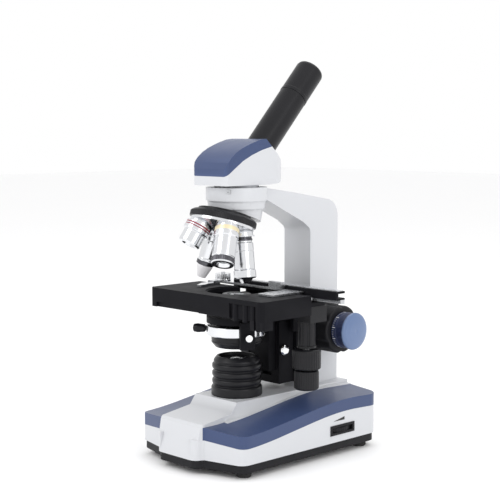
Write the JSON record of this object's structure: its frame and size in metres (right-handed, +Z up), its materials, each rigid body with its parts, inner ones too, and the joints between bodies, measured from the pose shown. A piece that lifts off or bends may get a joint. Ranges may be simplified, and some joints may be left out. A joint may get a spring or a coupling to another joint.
{
  "type": "microscope",
  "caption": "Monocular compound microscope: tilted eyepiece tube, revolving nosepiece with objectives, mechanical stage, condenser, coaxial focus and built-in lamp.",
  "frame": {"origin": "centre of the footprint box, on the plane the feet stand on", "axes": "+Z up, +Y from the optical axis towards the arm, +X to the operator's right as they face the front"},
  "size_m": [0.1694, 0.1988, 0.3632],
  "materials": {
    "white_paint": "satin",
    "blue_plastic": "satin",
    "black_metal": "satin",
    "black_plastic": "matte",
    "rubber": "matte",
    "steel": "brushed",
    "chrome": "polished",
    "brass": "machined",
    "aluminium": "satin",
    "glass": "polished",
    "board": "matte"
  },
  "bodies": {
    "stand": {"base_shell": "white_paint", "base_plate": "black_plastic", "wing_cover_left": "blue_plastic", "wing_cover_right": "blue_plastic", "feet": "rubber", "base_screws": "steel", "collector_housing": "black_metal", "collector_lens": "glass", "lamp_board": "board", "driver_board": "board", "power_jack": "black_plastic", "wheel_bezel": "black_plastic", "arm": "white_paint", "bearing_blocks": "black_metal", "seat_screw": "steel", "nosepiece_mount": "black_metal"},
    "head": {"head_body": "white_paint", "head_cover": "blue_plastic", "prism": "glass", "eyepiece_tube": "black_metal"},
    "ocular": {"eyepiece": "black_metal", "eye_lens": "glass"},
    "nosepiece": {"turret_ring": "black_metal", "turret_cone": "chrome", "objective_4x": "chrome", "objective_10x": "chrome", "objective_40x": "chrome", "objective_100x": "chrome", "front_lenses": "glass"},
    "carriage": {"focus_slide": "black_metal", "focus_rack": "brass"},
    "substage": {"stage_bracket": "black_metal", "stage_plate": "black_metal", "y_rack": "brass"},
    "coarse_drive": {"coarse_shaft": "steel", "coarse_knob_right": "black_plastic", "coarse_knob_left": "black_plastic"},
    "fine_drive": {"fine_shaft": "steel", "fine_knob_right": "blue_plastic", "fine_knob_left": "blue_plastic"},
    "stage": {"stage_top": "black_metal", "bar_guide": "black_metal", "control_housing": "black_metal"},
    "y_drive": {"y_shaft": "steel", "y_knob": "black_plastic"},
    "x_drive": {"x_shaft": "steel", "x_knob": "black_plastic"},
    "slide_carrier": {"x_bar": "black_metal", "x_rack": "steel", "scale_strip": "aluminium", "slide_holder": "steel"},
    "finger": {"clip_finger": "chrome"},
    "condenser": {"condenser_carrier": "black_metal", "condenser_body": "aluminium", "condenser_lens": "glass", "condenser_screw": "steel"},
    "condenser_drive": {"condenser_shaft": "steel", "condenser_knob": "black_plastic"},
    "iris": {"iris_lever": "black_metal"},
    "dimmer": {"brightness_wheel": "black_plastic"}
  },
  "joints": [
    {"name": "head_turn", "type": "hinge", "parent": "stand", "child": "head", "pos_m": [-0.01125, -0.02445, 0.249], "axis": [0, 0, 1], "continuous": true},
    {"name": "eyepiece_lift", "type": "slide", "parent": "head", "child": "ocular", "axis": [0, 0.682, 0.7314], "range_m": [0, 0.03]},
    {"name": "nosepiece_turn", "type": "hinge", "parent": "stand", "child": "nosepiece", "pos_m": [-0.01125, -0.02445, 0.273], "axis": [0, 0.2924, 0.9563], "continuous": true},
    {"name": "coarse_focus", "type": "slide", "parent": "stand", "child": "carriage", "axis": [0, 0, 1], "range_m": [-0.004, 0.003]},
    {"name": "fine_focus", "type": "slide", "parent": "carriage", "child": "substage", "axis": [0, 0, 1], "range_m": [-0.0005, 0.0005]},
    {"name": "coarse_knobs", "type": "hinge", "parent": "stand", "child": "coarse_drive", "pos_m": [-0.01125, 0.06555, 0.1125], "axis": [1, 0, 0], "range_deg": [-30, 40]},
    {"name": "fine_knobs", "type": "hinge", "parent": "stand", "child": "fine_drive", "pos_m": [-0.01125, 0.06555, 0.1125], "axis": [1, 0, 0], "range_deg": [-910, 910]},
    {"name": "stage_y", "type": "slide", "parent": "substage", "child": "stage", "axis": [0, 1, 0], "range_m": [-0.012, 0.012]},
    {"name": "y_knob_turn", "type": "hinge", "parent": "stage", "child": "y_drive", "pos_m": [0.04675, 0.00705, 0.094], "axis": [0, 0, 1], "range_deg": [-154, 154]},
    {"name": "holder_x", "type": "slide", "parent": "stage", "child": "slide_carrier", "axis": [1, 0, 0], "range_m": [-0.022, 0.022]},
    {"name": "x_knob_turn", "type": "hinge", "parent": "stage", "child": "x_drive", "pos_m": [0.04675, 0.00705, 0.075], "axis": [0, 0, 1], "range_deg": [-282, 282]},
    {"name": "finger_swing", "type": "hinge", "parent": "slide_carrier", "child": "finger", "pos_m": [-0.05725, 0.00175, 0.156], "axis": [0, 0, -1], "range_deg": [0, 35], "stiffness_Nm_per_rad": 0.05, "springref_deg": -17.19},
    {"name": "condenser_height", "type": "slide", "parent": "substage", "child": "condenser", "axis": [0, 0, 1], "range_m": [-0.003, 0.002]},
    {"name": "condenser_knob_turn", "type": "hinge", "parent": "substage", "child": "condenser_drive", "pos_m": [-0.01125, 0.01955, 0.095], "axis": [1, 0, 0], "range_deg": [-24, 36]},
    {"name": "iris_turn", "type": "hinge", "parent": "condenser", "child": "iris", "pos_m": [-0.01125, -0.02445, 0.1173], "axis": [0, 0, 1], "range_deg": [-30, 30]},
    {"name": "dimmer_turn", "type": "hinge", "parent": "stand", "child": "dimmer", "pos_m": [0.03475, 0.04555, 0.0245], "axis": [0, 0, 1], "range_deg": [-135, 135]}
  ],
  "couplings": [
    {"joint": "coarse_knobs", "follows": "coarse_focus", "rad_per_m": -166.67},
    {"joint": "fine_knobs", "follows": "fine_focus", "rad_per_m": -31416},
    {"joint": "y_knob_turn", "follows": "stage_y", "rad_per_m": 222.22},
    {"joint": "x_knob_turn", "follows": "holder_x", "rad_per_m": -222.22},
    {"joint": "condenser_knob_turn", "follows": "condenser_height", "rad_per_m": -200}
  ]
}
